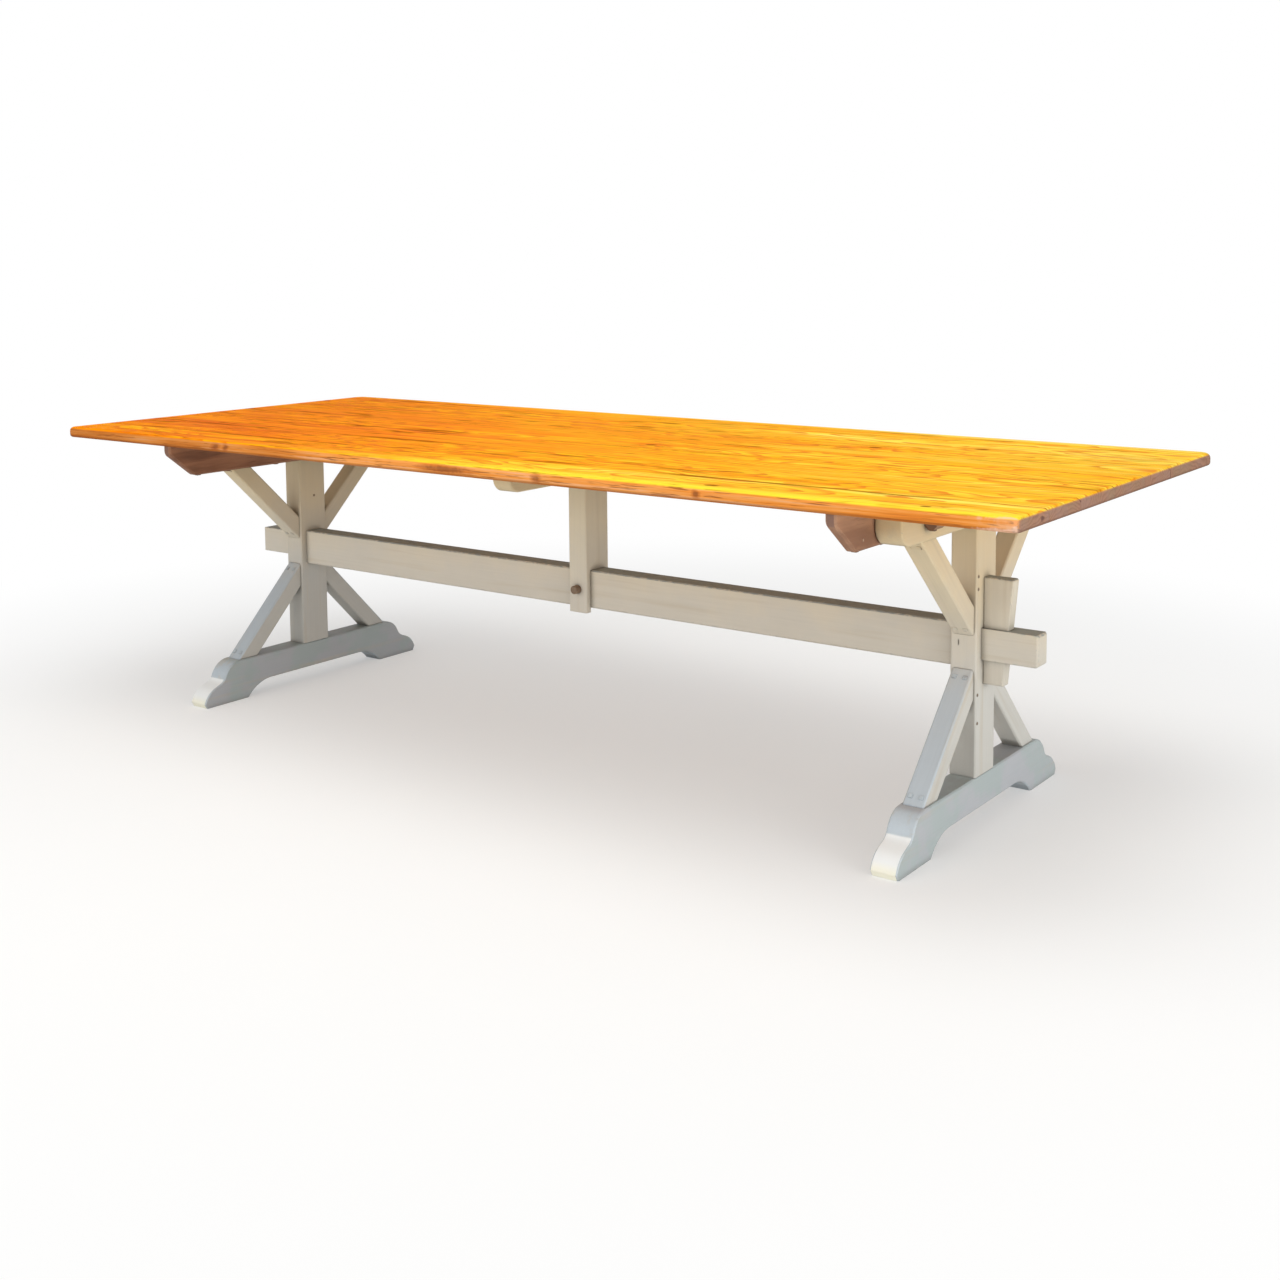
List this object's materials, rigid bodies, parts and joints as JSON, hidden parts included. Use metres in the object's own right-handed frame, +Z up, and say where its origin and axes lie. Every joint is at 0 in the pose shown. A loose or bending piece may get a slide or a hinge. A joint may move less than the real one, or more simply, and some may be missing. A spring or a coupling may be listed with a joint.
{
  "type": "trestle table",
  "caption": "Knock-down trestle table: loose boarded top with battens, braced trestles on scrolled feet, and a stretcher with a tusk-wedged through tenon.",
  "frame": {"origin": "on the floor, at the middle of the table", "axes": "+X along the length towards the end with the tusk wedge, -Y towards the front, +Z up"},
  "size_m": [2.743, 1.092, 0.762],
  "materials": {
    "top_pine": "varnished pine with a satin gloss",
    "brown_wood": "bare brown wood",
    "painted_wood": "worn off-white paint",
    "peg_wood": "bare brown wood",
    "spike_iron": "dark cut iron",
    "painted_nails": "cut nails painted over"
  },
  "bodies": {
    "base": {"centre_bearer": "painted_wood", "centre_post": "painted_wood", "left_bearer": "painted_wood", "left_brace_nails": "painted_nails", "left_foot": "painted_wood", "left_lower_brace_back": "painted_wood", "left_lower_brace_front": "painted_wood", "left_post": "painted_wood", "left_upper_brace_back": "painted_wood", "left_upper_brace_front": "painted_wood", "right_bearer": "painted_wood", "right_brace_nails": "painted_nails", "right_foot": "painted_wood", "right_lower_brace_back": "painted_wood", "right_lower_brace_front": "painted_wood", "right_post": "painted_wood", "right_upper_brace_back": "painted_wood", "right_upper_brace_front": "painted_wood", "stretcher": "painted_wood"},
    "top": {"top_board_1": "top_pine", "top_board_2": "top_pine", "top_board_3": "top_pine", "top_board_4": "top_pine", "top_board_5": "top_pine", "top_board_6": "top_pine", "board_tongues": "top_pine", "batten_spikes": "spike_iron", "block_spikes": "spike_iron", "left_batten": "brown_wood", "right_batten": "brown_wood", "stop_block_front": "brown_wood", "stop_block_back": "brown_wood"},
    "wedge": {"tusk_wedge": "painted_wood"},
    "peg": {"centre_peg": "peg_wood"}
  },
  "joints": [
    {"name": "top_lift", "type": "slide", "parent": "base", "child": "top", "axis": [0, 0, 1], "range_m": [0, 0.12]},
    {"name": "wedge_draw", "type": "slide", "parent": "base", "child": "wedge", "axis": [0, 0, 1], "range_m": [0, 0.125]},
    {"name": "peg_draw", "type": "slide", "parent": "base", "child": "peg", "axis": [0, -1, 0], "range_m": [0, 0.1]}
  ]
}
